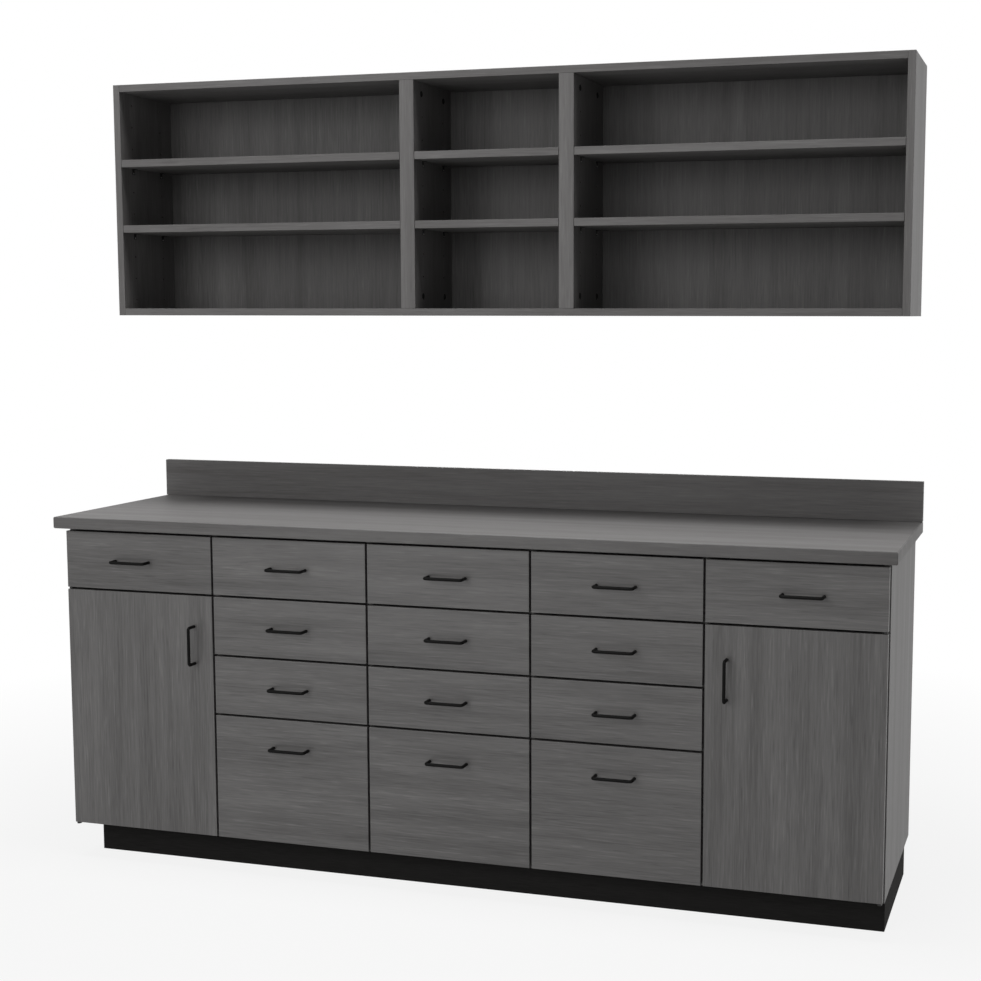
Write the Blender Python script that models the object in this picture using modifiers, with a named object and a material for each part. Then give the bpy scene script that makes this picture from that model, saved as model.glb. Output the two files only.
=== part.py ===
"""Pharmacy cabinet with wall shelves: a base cabinet under a worktop, and a wall unit of open bays.

Five equal columns stand on a recessed toe kick: four drawers in each of the three middle columns, and a
drawer over a hinged door in each end column. The wall unit above has three bays of adjustable shelves.
Metres, +Z up, +X to the right, the wall at +Y. The origin is the bottom centre of the whole object's box.
"""

import math

import bmesh
import bpy
from mathutils import Matrix, Vector

# Base cabinet
COLUMN_COUNT = 5
COLUMN_WIDTH = 0.4267
BASE_DEPTH = 0.559  # from the front faces to the wall
WORK_HEIGHT = 0.9144
PANEL = 0.019
BACK_PANEL = 0.0064

# Worktop and backsplash
TOP_THICKNESS = 0.030
TOP_FRONT_OVERHANG = 0.026  # past the front faces
TOP_SIDE_OVERHANG = 0.018
TOP_EDGE_EASE = 0.002
SPLASH_HEIGHT = 0.103
SPLASH_THICKNESS = 0.019

# Toe kick, a ring of boards set in from the cabinet's sides
KICK_HEIGHT = 0.088
KICK_BOARD = 0.019
KICK_RECESS = 0.078  # behind the front faces
KICK_LEFT_INSET = 0.036
KICK_RIGHT_INSET = 0.005
KICK_BACK_INSET = 0.052  # before the wall

# Drawer and door fronts
FRONT_THICKNESS = 0.019
FRONT_GAP = 0.0055
FRONT_EASE = 0.0008
TOP_REVEAL = 0.0085  # open line between the fronts and the worktop
SHALLOW_FRONT = 0.1482
SHALLOW_ROWS = 3  # above the deep drawer of a middle column

# Drawer boxes, behind the fronts
BOX_WALL = 0.012
BOX_BOTTOM = 0.010
BOX_DECK_CLEARANCE = 0.009
BOX_HEADROOM = 0.022  # below the front's top edge
BOX_BACK_CLEARANCE = 0.035

# Drawer slides: a channel on the cabinet's panel, a bar on the drawer's side
SLIDE_SPACE = 0.0127
SLIDE_RISE = 0.020  # channel above the box's underside
SLIDE_SETBACK = 0.003
CHANNEL_HEIGHT = 0.035
CHANNEL_SHEET = 0.002
CHANNEL_CLEARANCE = 0.0012  # to the drawer's side

# Pivot hinges of the two doors
HINGE_WIDTH = 0.010
HINGE_TAIL = 0.030  # let into the end panel's front edge
HINGE_CLEARANCE = 0.0008  # above and below the plate
PIVOT_SETBACK = 0.006  # behind the front face
PIN_RADIUS = 0.0023
PIN_LENGTH = 0.011
SWING_CLEARANCE = 0.0007

# Wire pulls
PULL_CENTRES = 0.096
PULL_WIRE = 0.008
PULL_PROJECTION = 0.034
PULL_BEND = 0.009  # radius at the wire's axis
END_PULL_SHIFT = 0.017  # outwards from the middle of an end column's drawer front
DOOR_PULL_INSET = 0.052  # from the door's free edge
DOOR_PULL_DROP = 0.1277  # from the door's top edge to the pull's middle

# Wall unit
WALL_RISE = 0.5204  # above the worktop
WALL_HEIGHT = 0.6166
WALL_DEPTH = 0.271
WALL_PANEL = 0.0185
PARTITION = 0.039  # two boards, back to back
MIDDLE_BAY = 0.389
SHELF_THICKNESS = 0.0195
SHELF_COUNT = 2
LOWEST_BAY_HEIGHT = 0.2048
SHELF_PITCH = 0.175
SHELF_END_CLEARANCE = 0.001
SHELF_BACK_CLEARANCE = 0.002
SHELF_PIN_RADIUS = 0.0025
SHELF_PIN_REACH = 0.008
SHELF_PIN_SETBACK = 0.060  # from the front and from the back panel

# Fits
SEAT = 0.0003  # between pieces that bear on each other
RUN_CLEARANCE = 0.0004  # between pieces that slide or turn
WELD = 0.00001
CUT_MARGIN = 0.010  # how far a cutter passes the surface it opens
ROUND_SIDES = 12
BEND_STEPS = 4

# Worked out from the sizes above
BASE_WIDTH = COLUMN_COUNT * COLUMN_WIDTH
HALF_WIDTH = BASE_WIDTH / 2
WALL_Y = (BASE_DEPTH + PULL_PROJECTION) / 2
TOP_UNDERSIDE = WORK_HEIGHT - TOP_THICKNESS
CARCASS_TOP = TOP_UNDERSIDE - SEAT
DECK_UNDERSIDE = KICK_HEIGHT + SEAT
DECK_TOP = DECK_UNDERSIDE + PANEL
FRONTS_BOTTOM = DECK_UNDERSIDE + FRONT_GAP
FRONTS_TOP = TOP_UNDERSIDE - TOP_REVEAL
ROW_PITCH = SHALLOW_FRONT + FRONT_GAP
FRONT_WIDTH = COLUMN_WIDTH - FRONT_GAP
DOOR_TOP = FRONTS_TOP - ROW_PITCH

# The pivot is in line with the end panel, and the door's back corner swings clear of the panel's edge
PIVOT_X = HALF_WIDTH - PANEL / 2
PIVOT_INSET = PANEL / 2 - FRONT_GAP / 2
CORNER_SWING = math.hypot(PIVOT_INSET, FRONT_THICKNESS - PIVOT_SETBACK)
CARCASS_FRONT = PIVOT_SETBACK + CORNER_SWING + SWING_CLEARANCE
HINGE_PLATE = FRONT_GAP - 2 * HINGE_CLEARANCE

CARCASS_BACK = BASE_DEPTH - BACK_PANEL
BOX_BACK = CARCASS_BACK - BOX_BACK_CLEARANCE
BOX_LIFT = DECK_TOP + BOX_DECK_CLEARANCE - FRONTS_BOTTOM
CHANNEL_REACH = SLIDE_SPACE - CHANNEL_CLEARANCE
BAR_REACH = SLIDE_SPACE - CHANNEL_SHEET - RUN_CLEARANCE
SLIDE_FRONT = CARCASS_FRONT + SLIDE_SETBACK

WALL_UNDERSIDE = WORK_HEIGHT + WALL_RISE
PARTITION_X = MIDDLE_BAY / 2 + PARTITION / 2
BAY_CEILING = WALL_HEIGHT - WALL_PANEL
SHELF_DEPTH_END = -BACK_PANEL - SHELF_BACK_CLEARANCE


def clear_scene():
    for obj in list(bpy.data.objects):
        bpy.data.objects.remove(obj, do_unlink=True)


def new_collection(name):
    collection = bpy.data.collections.new(name)
    bpy.context.scene.collection.children.link(collection)
    return collection


def new_material(name, colour, roughness, metallic=0.0):
    material = bpy.data.materials.new(name)
    material.use_nodes = True
    shader = material.node_tree.nodes["Principled BSDF"]
    shader.inputs["Base Color"].default_value = (*colour, 1.0)
    shader.inputs["Roughness"].default_value = roughness
    shader.inputs["Metallic"].default_value = metallic
    material.diffuse_color = (*colour, 1.0)
    return material


clear_scene()
PARTS = new_collection("pharmacy_cabinet")
CUTTERS = new_collection("cutters")
LAMINATE = new_material("grey_wood_laminate", (0.118, 0.115, 0.114), 0.55)
TOP_LAMINATE = new_material("worktop_laminate", (0.160, 0.157, 0.155), 0.45)
KICK_BLACK = new_material("black_kick_board", (0.012, 0.011, 0.011), 0.60)
BLACK_METAL = new_material("black_pull_metal", (0.010, 0.010, 0.009), 0.40, 0.6)
HINGE_STEEL = new_material("black_hinge_steel", (0.020, 0.020, 0.020), 0.45, 0.6)


def new_frame(name, location):
    """An empty that a group of pieces is measured from."""
    frame = bpy.data.objects.new(name, None)
    frame.location = location
    PARTS.objects.link(frame)
    return frame


def add_object(name, data, collection, parent, location, material=None):
    obj = bpy.data.objects.new(name, data)
    obj.parent = parent
    obj.location = location
    if material is not None:
        data.materials.append(material)
    collection.objects.link(obj)
    return obj


def boxes_mesh(name, boxes):
    """One mesh of separate boxes, each given by its low and its high corner."""
    shape = bmesh.new()
    for low, high in boxes:
        size = Vector(high) - Vector(low)
        middle = (Vector(high) + Vector(low)) / 2
        place = Matrix.Translation(middle) @ Matrix.Diagonal((*size, 1.0))
        bmesh.ops.create_cube(shape, size=1.0, matrix=place)
    mesh = bpy.data.meshes.new(name)
    shape.to_mesh(mesh)
    shape.free()
    return mesh


def rods_mesh(name, rods):
    """One mesh of separate round rods, each given by its two ends and its radius."""
    shape = bmesh.new()
    for start, end, radius in rods:
        along = Vector(end) - Vector(start)
        middle = (Vector(start) + Vector(end)) / 2
        turn = along.to_track_quat("Z", "Y").to_matrix().to_4x4()
        bmesh.ops.create_cone(
            shape,
            cap_ends=True,
            segments=ROUND_SIDES,
            radius1=radius,
            radius2=radius,
            depth=along.length,
            matrix=Matrix.Translation(middle) @ turn,
        )
    mesh = bpy.data.meshes.new(name)
    shape.to_mesh(mesh)
    shape.free()
    return mesh


def add_panel(name, low, high, material, parent):
    """A board between two corners of its parent's frame, with its origin at its middle."""
    middle = (Vector(low) + Vector(high)) / 2
    mesh = boxes_mesh(name, [(Vector(low) - middle, Vector(high) - middle)])
    return add_object(name, mesh, PARTS, parent, middle, material)


def ease_edges(obj, width):
    bevel = obj.modifiers.new("eased_edges", "BEVEL")
    bevel.width = width
    bevel.segments = 1


def combine(obj, tool_name, tool_mesh, operation, frame, location=(0, 0, 0)):
    """Join a tool to an object, or cut it from it. The tool is placed in the given frame."""
    tool = add_object(tool_name, tool_mesh, CUTTERS, frame, location)
    tool.hide_render = True
    tool.display_type = "WIRE"
    boolean = obj.modifiers.new(tool_name, "BOOLEAN")
    boolean.operation = operation
    boolean.solver = "EXACT"
    boolean.object = tool


def pull_curve():
    """A wire bent to a U: two legs from the front face, and a bar across them."""
    bar_y = -(PULL_PROJECTION - PULL_WIRE / 2)
    bend_y = bar_y + PULL_BEND
    half = PULL_CENTRES / 2
    points = [(-half, -SEAT)]
    for side, first_turn in ((-1, math.pi), (1, 1.5 * math.pi)):
        centre_x = side * (half - PULL_BEND)
        for step in range(BEND_STEPS + 1):
            turn = first_turn + step * math.pi / 2 / BEND_STEPS
            points.append((centre_x + PULL_BEND * math.cos(turn), bend_y + PULL_BEND * math.sin(turn)))
    points.append((half, -SEAT))
    curve = bpy.data.curves.new("wire_pull", "CURVE")
    curve.dimensions = "3D"
    curve.bevel_depth = PULL_WIRE / 2
    curve.bevel_resolution = 2
    curve.use_fill_caps = True
    spline = curve.splines.new("POLY")
    spline.points.add(len(points) - 1)
    for point, (x, y) in zip(spline.points, points):
        point.co = (x, y, 0.0, 1.0)
    curve.materials.append(BLACK_METAL)
    return curve


# Places in the base cabinet's frame: x from its middle, y from its front faces, z from the floor
def column_left(column):
    return -HALF_WIDTH + column * COLUMN_WIDTH


def column_middle(column):
    return column_left(column) + COLUMN_WIDTH / 2


def inner_faces(column):
    """The x of the two panel faces that a column's drawers run between."""
    left = column_left(column) + PANEL / 2
    right = column_left(column + 1) - PANEL / 2
    if column == 0:
        left = -HALF_WIDTH + PANEL
    if column == COLUMN_COUNT - 1:
        right = HALF_WIDTH - PANEL
    return left, right


def row_span(row):
    """The z of a drawer front's bottom and top edges."""
    top = FRONTS_TOP - row * ROW_PITCH
    bottom = top - SHALLOW_FRONT if row < SHALLOW_ROWS else FRONTS_BOTTOM
    return bottom, top


def rows_of(column):
    """The end columns hold one drawer, over a door."""
    at_end = column in (0, COLUMN_COUNT - 1)
    return range(1 if at_end else SHALLOW_ROWS + 1)


def add_slides(panel, face_x, side, column, frame):
    """Slide channels on one face of a panel, opening towards side (+1 or -1), one for each drawer."""
    channels = []
    grooves = []
    for row in rows_of(column):
        bottom = row_span(row)[0] + BOX_LIFT + SLIDE_RISE
        top = bottom + CHANNEL_HEIGHT
        root = sorted((face_x - side * PANEL / 4, face_x + side * CHANNEL_REACH))
        channels.append(((root[0], SLIDE_FRONT, bottom), (root[1], BOX_BACK, top)))
        mouth = sorted((face_x + side * CHANNEL_SHEET, face_x + side * (CHANNEL_REACH + CUT_MARGIN)))
        groove_low = (mouth[0], SLIDE_FRONT - CUT_MARGIN, bottom + CHANNEL_SHEET)
        groove_high = (mouth[1], BOX_BACK + CUT_MARGIN, top - CHANNEL_SHEET)
        grooves.append((groove_low, groove_high))
    name = f"{panel.name}_column_{column + 1}"
    combine(panel, f"{name}_channels", boxes_mesh(name, channels), "UNION", frame)
    combine(panel, f"{name}_grooves", boxes_mesh(name, grooves), "DIFFERENCE", frame)


def cut_hinge_seats(panel, pivot_x, frame):
    """Mortises in the end panel's front edge for the door's two hinge plates. The lower one is open below."""
    half_width = HINGE_WIDTH / 2 + SEAT
    half_plate = HINGE_PLATE / 2 + SEAT
    upper = DOOR_TOP + FRONT_GAP / 2
    lower = FRONTS_BOTTOM - FRONT_GAP / 2
    seats = []
    for low_z, high_z in ((upper - half_plate, upper + half_plate), (-CUT_MARGIN, lower + half_plate)):
        low = (pivot_x - half_width, CARCASS_FRONT - CUT_MARGIN, low_z)
        high = (pivot_x + half_width, CARCASS_FRONT + HINGE_TAIL + SEAT, high_z)
        seats.append((low, high))
    name = f"{panel.name}_hinge_seats"
    combine(panel, name, boxes_mesh(name, seats), "DIFFERENCE", frame)


def add_toe_kick(frame):
    low = Vector((-HALF_WIDTH + KICK_LEFT_INSET, KICK_RECESS, 0.0))
    high = Vector((HALF_WIDTH - KICK_RIGHT_INSET, BASE_DEPTH - KICK_BACK_INSET, KICK_HEIGHT))
    kick = add_panel("toe_kick", low, high, KICK_BLACK, frame)
    inset = Vector((KICK_BOARD, KICK_BOARD, -CUT_MARGIN))
    inside = boxes_mesh("toe_kick_inside", [(low + inset, high - inset)])
    combine(kick, "toe_kick_inside", inside, "DIFFERENCE", frame)


def add_carcass(frame):
    for side, name, column in ((-1, "base_left_end", 0), (1, "base_right_end", COLUMN_COUNT - 1)):
        outer, inner = side * HALF_WIDTH, side * (HALF_WIDTH - PANEL)
        low = (min(outer, inner), CARCASS_FRONT, DECK_UNDERSIDE)
        high = (max(outer, inner), BASE_DEPTH, CARCASS_TOP)
        end = add_panel(name, low, high, LAMINATE, frame)
        add_slides(end, inner, -side, column, frame)
        cut_hinge_seats(end, side * PIVOT_X, frame)
    inside = HALF_WIDTH - PANEL - SEAT
    deck_high = (inside, CARCASS_BACK - SEAT, DECK_TOP)
    add_panel("base_deck", (-inside, CARCASS_FRONT, DECK_UNDERSIDE), deck_high, LAMINATE, frame)
    back_high = (inside, BASE_DEPTH, CARCASS_TOP)
    add_panel("base_back", (-inside, CARCASS_BACK, DECK_UNDERSIDE), back_high, LAMINATE, frame)
    for column in range(1, COLUMN_COUNT):
        x = column_left(column)
        low = (x - PANEL / 2, CARCASS_FRONT, DECK_TOP + SEAT)
        high = (x + PANEL / 2, CARCASS_BACK - SEAT, CARCASS_TOP)
        divider = add_panel(f"base_divider_{column}", low, high, LAMINATE, frame)
        add_slides(divider, x - PANEL / 2, -1, column - 1, frame)
        add_slides(divider, x + PANEL / 2, 1, column, frame)


def add_worktop(frame):
    half = HALF_WIDTH + TOP_SIDE_OVERHANG
    low = (-half, -TOP_FRONT_OVERHANG, TOP_UNDERSIDE)
    top = add_panel("worktop", low, (half, BASE_DEPTH, WORK_HEIGHT), TOP_LAMINATE, frame)
    ease_edges(top, TOP_EDGE_EASE)
    splash_low = (-half, BASE_DEPTH - SPLASH_THICKNESS, WORK_HEIGHT + SEAT)
    splash_high = (half, BASE_DEPTH, WORK_HEIGHT + SPLASH_HEIGHT)
    add_panel("backsplash", splash_low, splash_high, TOP_LAMINATE, frame)


def add_drawer(column, row, pull, frame):
    """Front, box and slide bars in one piece, measured from the middle of the front's bottom edge."""
    bottom, top = row_span(row)
    height = top - bottom
    middle = column_middle(column)
    name = f"drawer_{column + 1}_{row + 1}"
    front = [((-FRONT_WIDTH / 2, 0.0, 0.0), (FRONT_WIDTH / 2, FRONT_THICKNESS, height))]
    drawer = add_object(name, boxes_mesh(name, front), PARTS, frame, (middle, 0.0, bottom), LAMINATE)
    ease_edges(drawer, FRONT_EASE)

    left, right = inner_faces(column)
    box_left = left + SLIDE_SPACE - middle
    box_right = right - SLIDE_SPACE - middle
    box_top = height - BOX_HEADROOM
    outside = [((box_left, FRONT_THICKNESS / 2, BOX_LIFT), (box_right, BOX_BACK, box_top))]
    combine(drawer, f"{name}_box", boxes_mesh(name, outside), "UNION", drawer)
    hollow_low = (box_left + BOX_WALL, FRONT_THICKNESS + BOX_WALL, BOX_LIFT + BOX_BOTTOM)
    hollow_high = (box_right - BOX_WALL, BOX_BACK - BOX_WALL, box_top + CUT_MARGIN)
    hollow = boxes_mesh(name, [(hollow_low, hollow_high)])
    combine(drawer, f"{name}_inside", hollow, "DIFFERENCE", drawer)

    bar_bottom = BOX_LIFT + SLIDE_RISE + CHANNEL_SHEET + RUN_CLEARANCE
    bar_top = BOX_LIFT + SLIDE_RISE + CHANNEL_HEIGHT - CHANNEL_SHEET - RUN_CLEARANCE
    bars = []
    for outer, inner in ((box_left - BAR_REACH, box_left + BOX_WALL / 2),
                         (box_right + BAR_REACH, box_right - BOX_WALL / 2)):
        low = (min(outer, inner), SLIDE_FRONT, bar_bottom)
        high = (max(outer, inner), BOX_BACK - CUT_MARGIN, bar_top)
        bars.append((low, high))
    combine(drawer, f"{name}_slide_bars", boxes_mesh(name, bars), "UNION", drawer)

    outwards = {0: -1, COLUMN_COUNT - 1: 1}.get(column, 0)
    pull_place = (outwards * END_PULL_SHIFT, 0.0, height - SHALLOW_FRONT / 2)
    add_object(f"drawer_pull_{column + 1}_{row + 1}", pull, PARTS, drawer, pull_place)


def hinge_plate_mesh():
    """A flat plate with a round nose about the pivot and a square tail, drawn from above."""
    tail = CARCASS_FRONT + HINGE_TAIL - PIVOT_SETBACK
    half = HINGE_WIDTH / 2
    outline = [(half, tail), (-half, tail)]
    for step in range(ROUND_SIDES + 1):
        turn = math.pi + step * math.pi / ROUND_SIDES
        outline.append((half * math.cos(turn), half * math.sin(turn)))
    curve = bpy.data.curves.new("hinge_plate", "CURVE")
    curve.dimensions = "2D"
    curve.fill_mode = "BOTH"
    curve.extrude = HINGE_PLATE / 2
    spline = curve.splines.new("POLY")
    spline.use_cyclic_u = True
    spline.points.add(len(outline) - 1)
    for point, (x, y) in zip(spline.points, outline):
        point.co = (x, y, 0.0, 1.0)
    guide = add_object("hinge_plate", curve, CUTTERS, None, (0, 0, 0))
    mesh = bpy.data.meshes.new_from_object(guide.evaluated_get(bpy.context.evaluated_depsgraph_get()))
    bpy.data.objects.remove(guide)
    shape = bmesh.new()
    shape.from_mesh(mesh)
    bmesh.ops.remove_doubles(shape, verts=shape.verts, dist=WELD)
    shape.to_mesh(mesh)
    shape.free()
    mesh.materials.append(HINGE_STEEL)
    return mesh


def add_hinge(name, plate, pivot, up, frame):
    """A plate let into the end panel, with a pin that stands up (+1) or hangs down (-1) into the door."""
    hinge = add_object(name, plate, PARTS, frame, pivot)
    pin_end = up * (HINGE_PLATE / 2 + HINGE_CLEARANCE + PIN_LENGTH)
    pin = rods_mesh(name, [((0, 0, 0), (0, 0, pin_end), PIN_RADIUS)])
    combine(hinge, f"{name}_pin", pin, "UNION", hinge)


def add_door(side, name, pull, plate, frame):
    """A door that turns about its pins at the cabinet's left (-1) or right (+1) end."""
    pivot = Vector((side * PIVOT_X, PIVOT_SETBACK, FRONTS_BOTTOM))
    height = DOOR_TOP - FRONTS_BOTTOM
    hinge_edge = side * PIVOT_INSET
    free_edge = side * (PIVOT_INSET - FRONT_WIDTH)
    low = (min(hinge_edge, free_edge), -PIVOT_SETBACK, 0.0)
    high = (max(hinge_edge, free_edge), FRONT_THICKNESS - PIVOT_SETBACK, height)
    door = add_object(name, boxes_mesh(name, [(low, high)]), PARTS, frame, pivot, LAMINATE)
    ease_edges(door, FRONT_EASE)
    bore = PIN_RADIUS + RUN_CLEARANCE
    depth = PIN_LENGTH + RUN_CLEARANCE
    bores = [((0, 0, -CUT_MARGIN), (0, 0, depth), bore)]
    bores.append(((0, 0, height - depth), (0, 0, height + CUT_MARGIN), bore))
    combine(door, f"{name}_pin_bores", rods_mesh(name, bores), "DIFFERENCE", door)

    pull_x = free_edge + side * DOOR_PULL_INSET
    pull_place = (pull_x, -PIVOT_SETBACK, height - DOOR_PULL_DROP)
    handle = add_object(f"{name}_pull", pull, PARTS, door, pull_place)
    handle.rotation_euler = (0.0, -math.pi / 2, 0.0)

    below = FRONTS_BOTTOM - FRONT_GAP / 2
    above = DOOR_TOP + FRONT_GAP / 2
    add_hinge(f"{name}_lower_hinge", plate, (pivot.x, pivot.y, below), 1, frame)
    add_hinge(f"{name}_upper_hinge", plate, (pivot.x, pivot.y, above), -1, frame)


# Places in the wall unit's frame: x from its middle, y from the wall, z from its underside
def shelf_bottom(shelf):
    return WALL_PANEL + LOWEST_BAY_HEIGHT + shelf * SHELF_PITCH


def bay_spans():
    """The x of the inner faces of the three bays, from left to right."""
    wall = HALF_WIDTH - WALL_PANEL
    near = PARTITION_X - PARTITION / 2
    far = PARTITION_X + PARTITION / 2
    return (-wall, -far), (-near, near), (far, wall)


def add_shelf_pins(panel, faces, frame):
    """Two shelf pins under each shelf's end, on each of a panel's faces, given as (x, direction)."""
    pins = []
    for face_x, side in faces:
        for shelf in range(SHELF_COUNT):
            z = shelf_bottom(shelf) - SEAT - SHELF_PIN_RADIUS
            for y in (-WALL_DEPTH + SHELF_PIN_SETBACK, -BACK_PANEL - SHELF_PIN_SETBACK):
                root = (face_x - side * WALL_PANEL / 4, y, z)
                tip = (face_x + side * SHELF_PIN_REACH, y, z)
                pins.append((root, tip, SHELF_PIN_RADIUS))
    name = f"{panel.name}_shelf_pins"
    combine(panel, name, rods_mesh(name, pins), "UNION", frame)


def add_wall_unit(frame):
    left_bay, middle_bay, right_bay = bay_spans()
    for side, name, face in ((-1, "wall_left_end", left_bay[0]), (1, "wall_right_end", right_bay[1])):
        outer = side * HALF_WIDTH
        low = (min(outer, face), -WALL_DEPTH, 0.0)
        end = add_panel(name, low, (max(outer, face), 0.0, WALL_HEIGHT), LAMINATE, frame)
        add_shelf_pins(end, [(face, -side)], frame)
    inside = HALF_WIDTH - WALL_PANEL - SEAT
    for name, bottom in (("wall_bottom", 0.0), ("wall_top", BAY_CEILING)):
        low = (-inside, -WALL_DEPTH, bottom)
        add_panel(name, low, (inside, 0.0, bottom + WALL_PANEL), LAMINATE, frame)
    floor = WALL_PANEL + SEAT
    ceiling = BAY_CEILING - SEAT
    add_panel("wall_back", (-inside, -BACK_PANEL, floor), (inside, 0.0, ceiling), LAMINATE, frame)
    for name, left, right in (("wall_left_partition", left_bay[1], middle_bay[0]),
                              ("wall_right_partition", middle_bay[1], right_bay[0])):
        high = (right, -BACK_PANEL - SEAT, ceiling)
        partition = add_panel(name, (left, -WALL_DEPTH, floor), high, LAMINATE, frame)
        add_shelf_pins(partition, [(left, -1), (right, 1)], frame)
    for bay, (left, right) in zip(("left", "middle", "right"), bay_spans()):
        for shelf, level in zip(range(SHELF_COUNT), ("lower", "upper")):
            low = (left + SHELF_END_CLEARANCE, -WALL_DEPTH, shelf_bottom(shelf))
            high = (right - SHELF_END_CLEARANCE, SHELF_DEPTH_END, shelf_bottom(shelf) + SHELF_THICKNESS)
            add_panel(f"{bay}_bay_{level}_shelf", low, high, LAMINATE, frame)


def main():
    base = new_frame("base_cabinet", (0.0, WALL_Y - BASE_DEPTH, 0.0))
    wall_unit = new_frame("wall_unit", (0.0, WALL_Y, WALL_UNDERSIDE))
    pull = pull_curve()
    plate = hinge_plate_mesh()
    add_toe_kick(base)
    add_carcass(base)
    add_worktop(base)
    for column in range(COLUMN_COUNT):
        for row in rows_of(column):
            add_drawer(column, row, pull, base)
    add_door(-1, "left_door", pull, plate, base)
    add_door(1, "right_door", pull, plate, base)
    add_wall_unit(wall_unit)


main()
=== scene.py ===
"""Looks of the pharmacy cabinet with wall shelves: boards, wire pulls, drawer boxes, slides and fixings.

Everything is placed from the frame's own solids, in metres, with +Z up and the wall at +Y.
"""

import itertools
import math

import bmesh
import bpy
from mathutils import Matrix, Vector


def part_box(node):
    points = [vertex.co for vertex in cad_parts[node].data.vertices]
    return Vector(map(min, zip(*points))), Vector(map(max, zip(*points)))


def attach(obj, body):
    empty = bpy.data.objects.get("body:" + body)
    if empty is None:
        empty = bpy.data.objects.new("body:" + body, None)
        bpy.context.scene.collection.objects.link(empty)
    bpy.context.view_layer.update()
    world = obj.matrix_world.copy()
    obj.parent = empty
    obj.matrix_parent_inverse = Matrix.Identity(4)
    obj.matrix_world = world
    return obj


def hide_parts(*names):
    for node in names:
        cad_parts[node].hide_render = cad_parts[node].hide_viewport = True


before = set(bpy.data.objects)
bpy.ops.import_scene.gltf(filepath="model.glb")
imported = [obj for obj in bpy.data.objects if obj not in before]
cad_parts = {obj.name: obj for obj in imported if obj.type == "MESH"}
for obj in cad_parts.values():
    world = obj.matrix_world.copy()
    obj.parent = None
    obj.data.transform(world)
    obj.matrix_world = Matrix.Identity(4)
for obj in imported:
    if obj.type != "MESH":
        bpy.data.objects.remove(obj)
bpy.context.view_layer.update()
scene = bpy.context.scene

# Axes
X, Y, Z = range(3)
TO_WALL = (0.0, 1.0, 0.0)

# Boards
PANEL = 0.019
FRONT = 0.019
WALL_BOARD = 0.0185
BACK_SHEET = 0.0064
KICK_BOARD = 0.019
BOARD_EASE = 0.0006
BOARD_EASE_STEPS = 2
FRONT_EASE = 0.0009
SPLASH_EASE = 0.001
TOP_EASE = 0.002
TOP_EASE_STEPS = 3
TOP_END_ROUND = 0.004
TOP_END_STEPS = 5
CORE_SLOPE = (0.75, 0.98)  # z of the normals, on a rounded end, where the core line shows
HAIRLINE = 0.0003
SHELF_GAP = 0.001  # between a shelf's end and the partition
CUT_MARGIN = 0.005  # by which a cutting tool stands out of the board
CUT_MARGIN_BELOW = 0.010  # the same at the foot of an end panel
CUT_EASE = 0.00001

# Columns of the base cabinet
COLUMN_COUNT = 5
COLUMN_WIDTH = 0.4267
DEEP_ROW = 4

# Drawer boxes and slides
BOX_WALL = 0.012
BOX_BOTTOM = 0.010
BOX_LIFT = 0.0225  # above the front's bottom edge
BOX_HEADROOM = 0.022
SLIDE_SPACE = 0.0127
SLIDE_RISE = 0.020
SLIDE_SETBACK = 0.003
SLIDE_TAIL = 0.010
CHANNEL_HEIGHT = 0.035
CHANNEL_SHEET = 0.002
CHANNEL_REACH = 0.0115
BAR_SHEET = 0.0014
BAR_REACH = 0.0103
BAR_HEIGHT = 0.0302
BAR_LIP = 0.006

# Screws: sizes are times the screw head's own, and shares are of the length that they are spread over
SCREW_SIDES = 12
BOLT_SIZE = 1.35
SMALL_SCREW_SIZE = 0.9
BAR_SCREW_SHARES = (0.08, 0.5, 0.9)
CHANNEL_SCREW_SHARES = (0.05, 0.35, 0.65, 0.95)
BOX_SCREW_SHARES = (0.25, 0.75)
BOX_SCREW_INSET = 0.045
BACK_SCREW_SPACING = 0.30
BACK_SCREW_INSET = 0.010
BACK_SCREW_SUNK = 0.0017

# Seeds of the turns that fixings are given. A drawer's seed is its column and row as two digits.
BRACKET_SEED = 3
CAP_SEED = 4
CHANNEL_SEED = 5
BACK_SEED = 8
DOOR_SEED = 70

# Wire pulls
PULL_CENTRES = 0.096
PULL_WIRE = 0.008
PULL_BEND = 0.006
PULL_SIDES = 18
PULL_BEND_STEPS = 7
WELD = 0.00001

# Hinge pins and their seats
PIN_BORE = 0.0027
PIN_DEPTH = 0.0114
PIN_SIDES = 16
HINGE_PLATE = 0.0039
HINGE_SEAT_HALF = 0.0053
HINGE_SEAT_DEPTH = 0.0303
HINGE_LINE = 0.0095  # from the cabinet's end to the pivot
PIVOT_SETBACK = 0.006

# Shelf brackets, their pegs and the peg holes
BRACKET_SHEET = 0.0012
BRACKET_WIDTH = 0.010
BRACKET_REACH = 0.011
BRACKET_DROP = 0.0106  # below the peg
BRACKET_SCREW_DROP = 0.0070
BRACKET_SCREW_SIZE = 0.5
LIP_REACH = 0.0034
PEG_DROP = 0.0048  # below the shelf
PEG_PLAY = 0.0001
PEG_SIDES = 14
PIN_RADIUS = 0.0025
PIN_SETBACK = 0.060
SHELF_PITCH = 0.175
HOLES_PER_PITCH = 3
HOLES_BELOW = 3
HOLES_IN_ROW = 10
HOLE_DEPTH = 0.010
HOLE_SIDES = 14

# Caps of the partition connectors
CAP_RADIUS = 0.0075
CAP_SETBACK = 0.055
CAP_DROP = 0.030
CAP_RISE = 0.032
CAP_SIDES = 20

# Rubber bumpers behind the fronts
BUMPER_HEIGHT = 0.0021
BUMPER_INSET = 0.0034
BUMPER_RISE = 0.022
BUMPER_SIDES = 14

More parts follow.
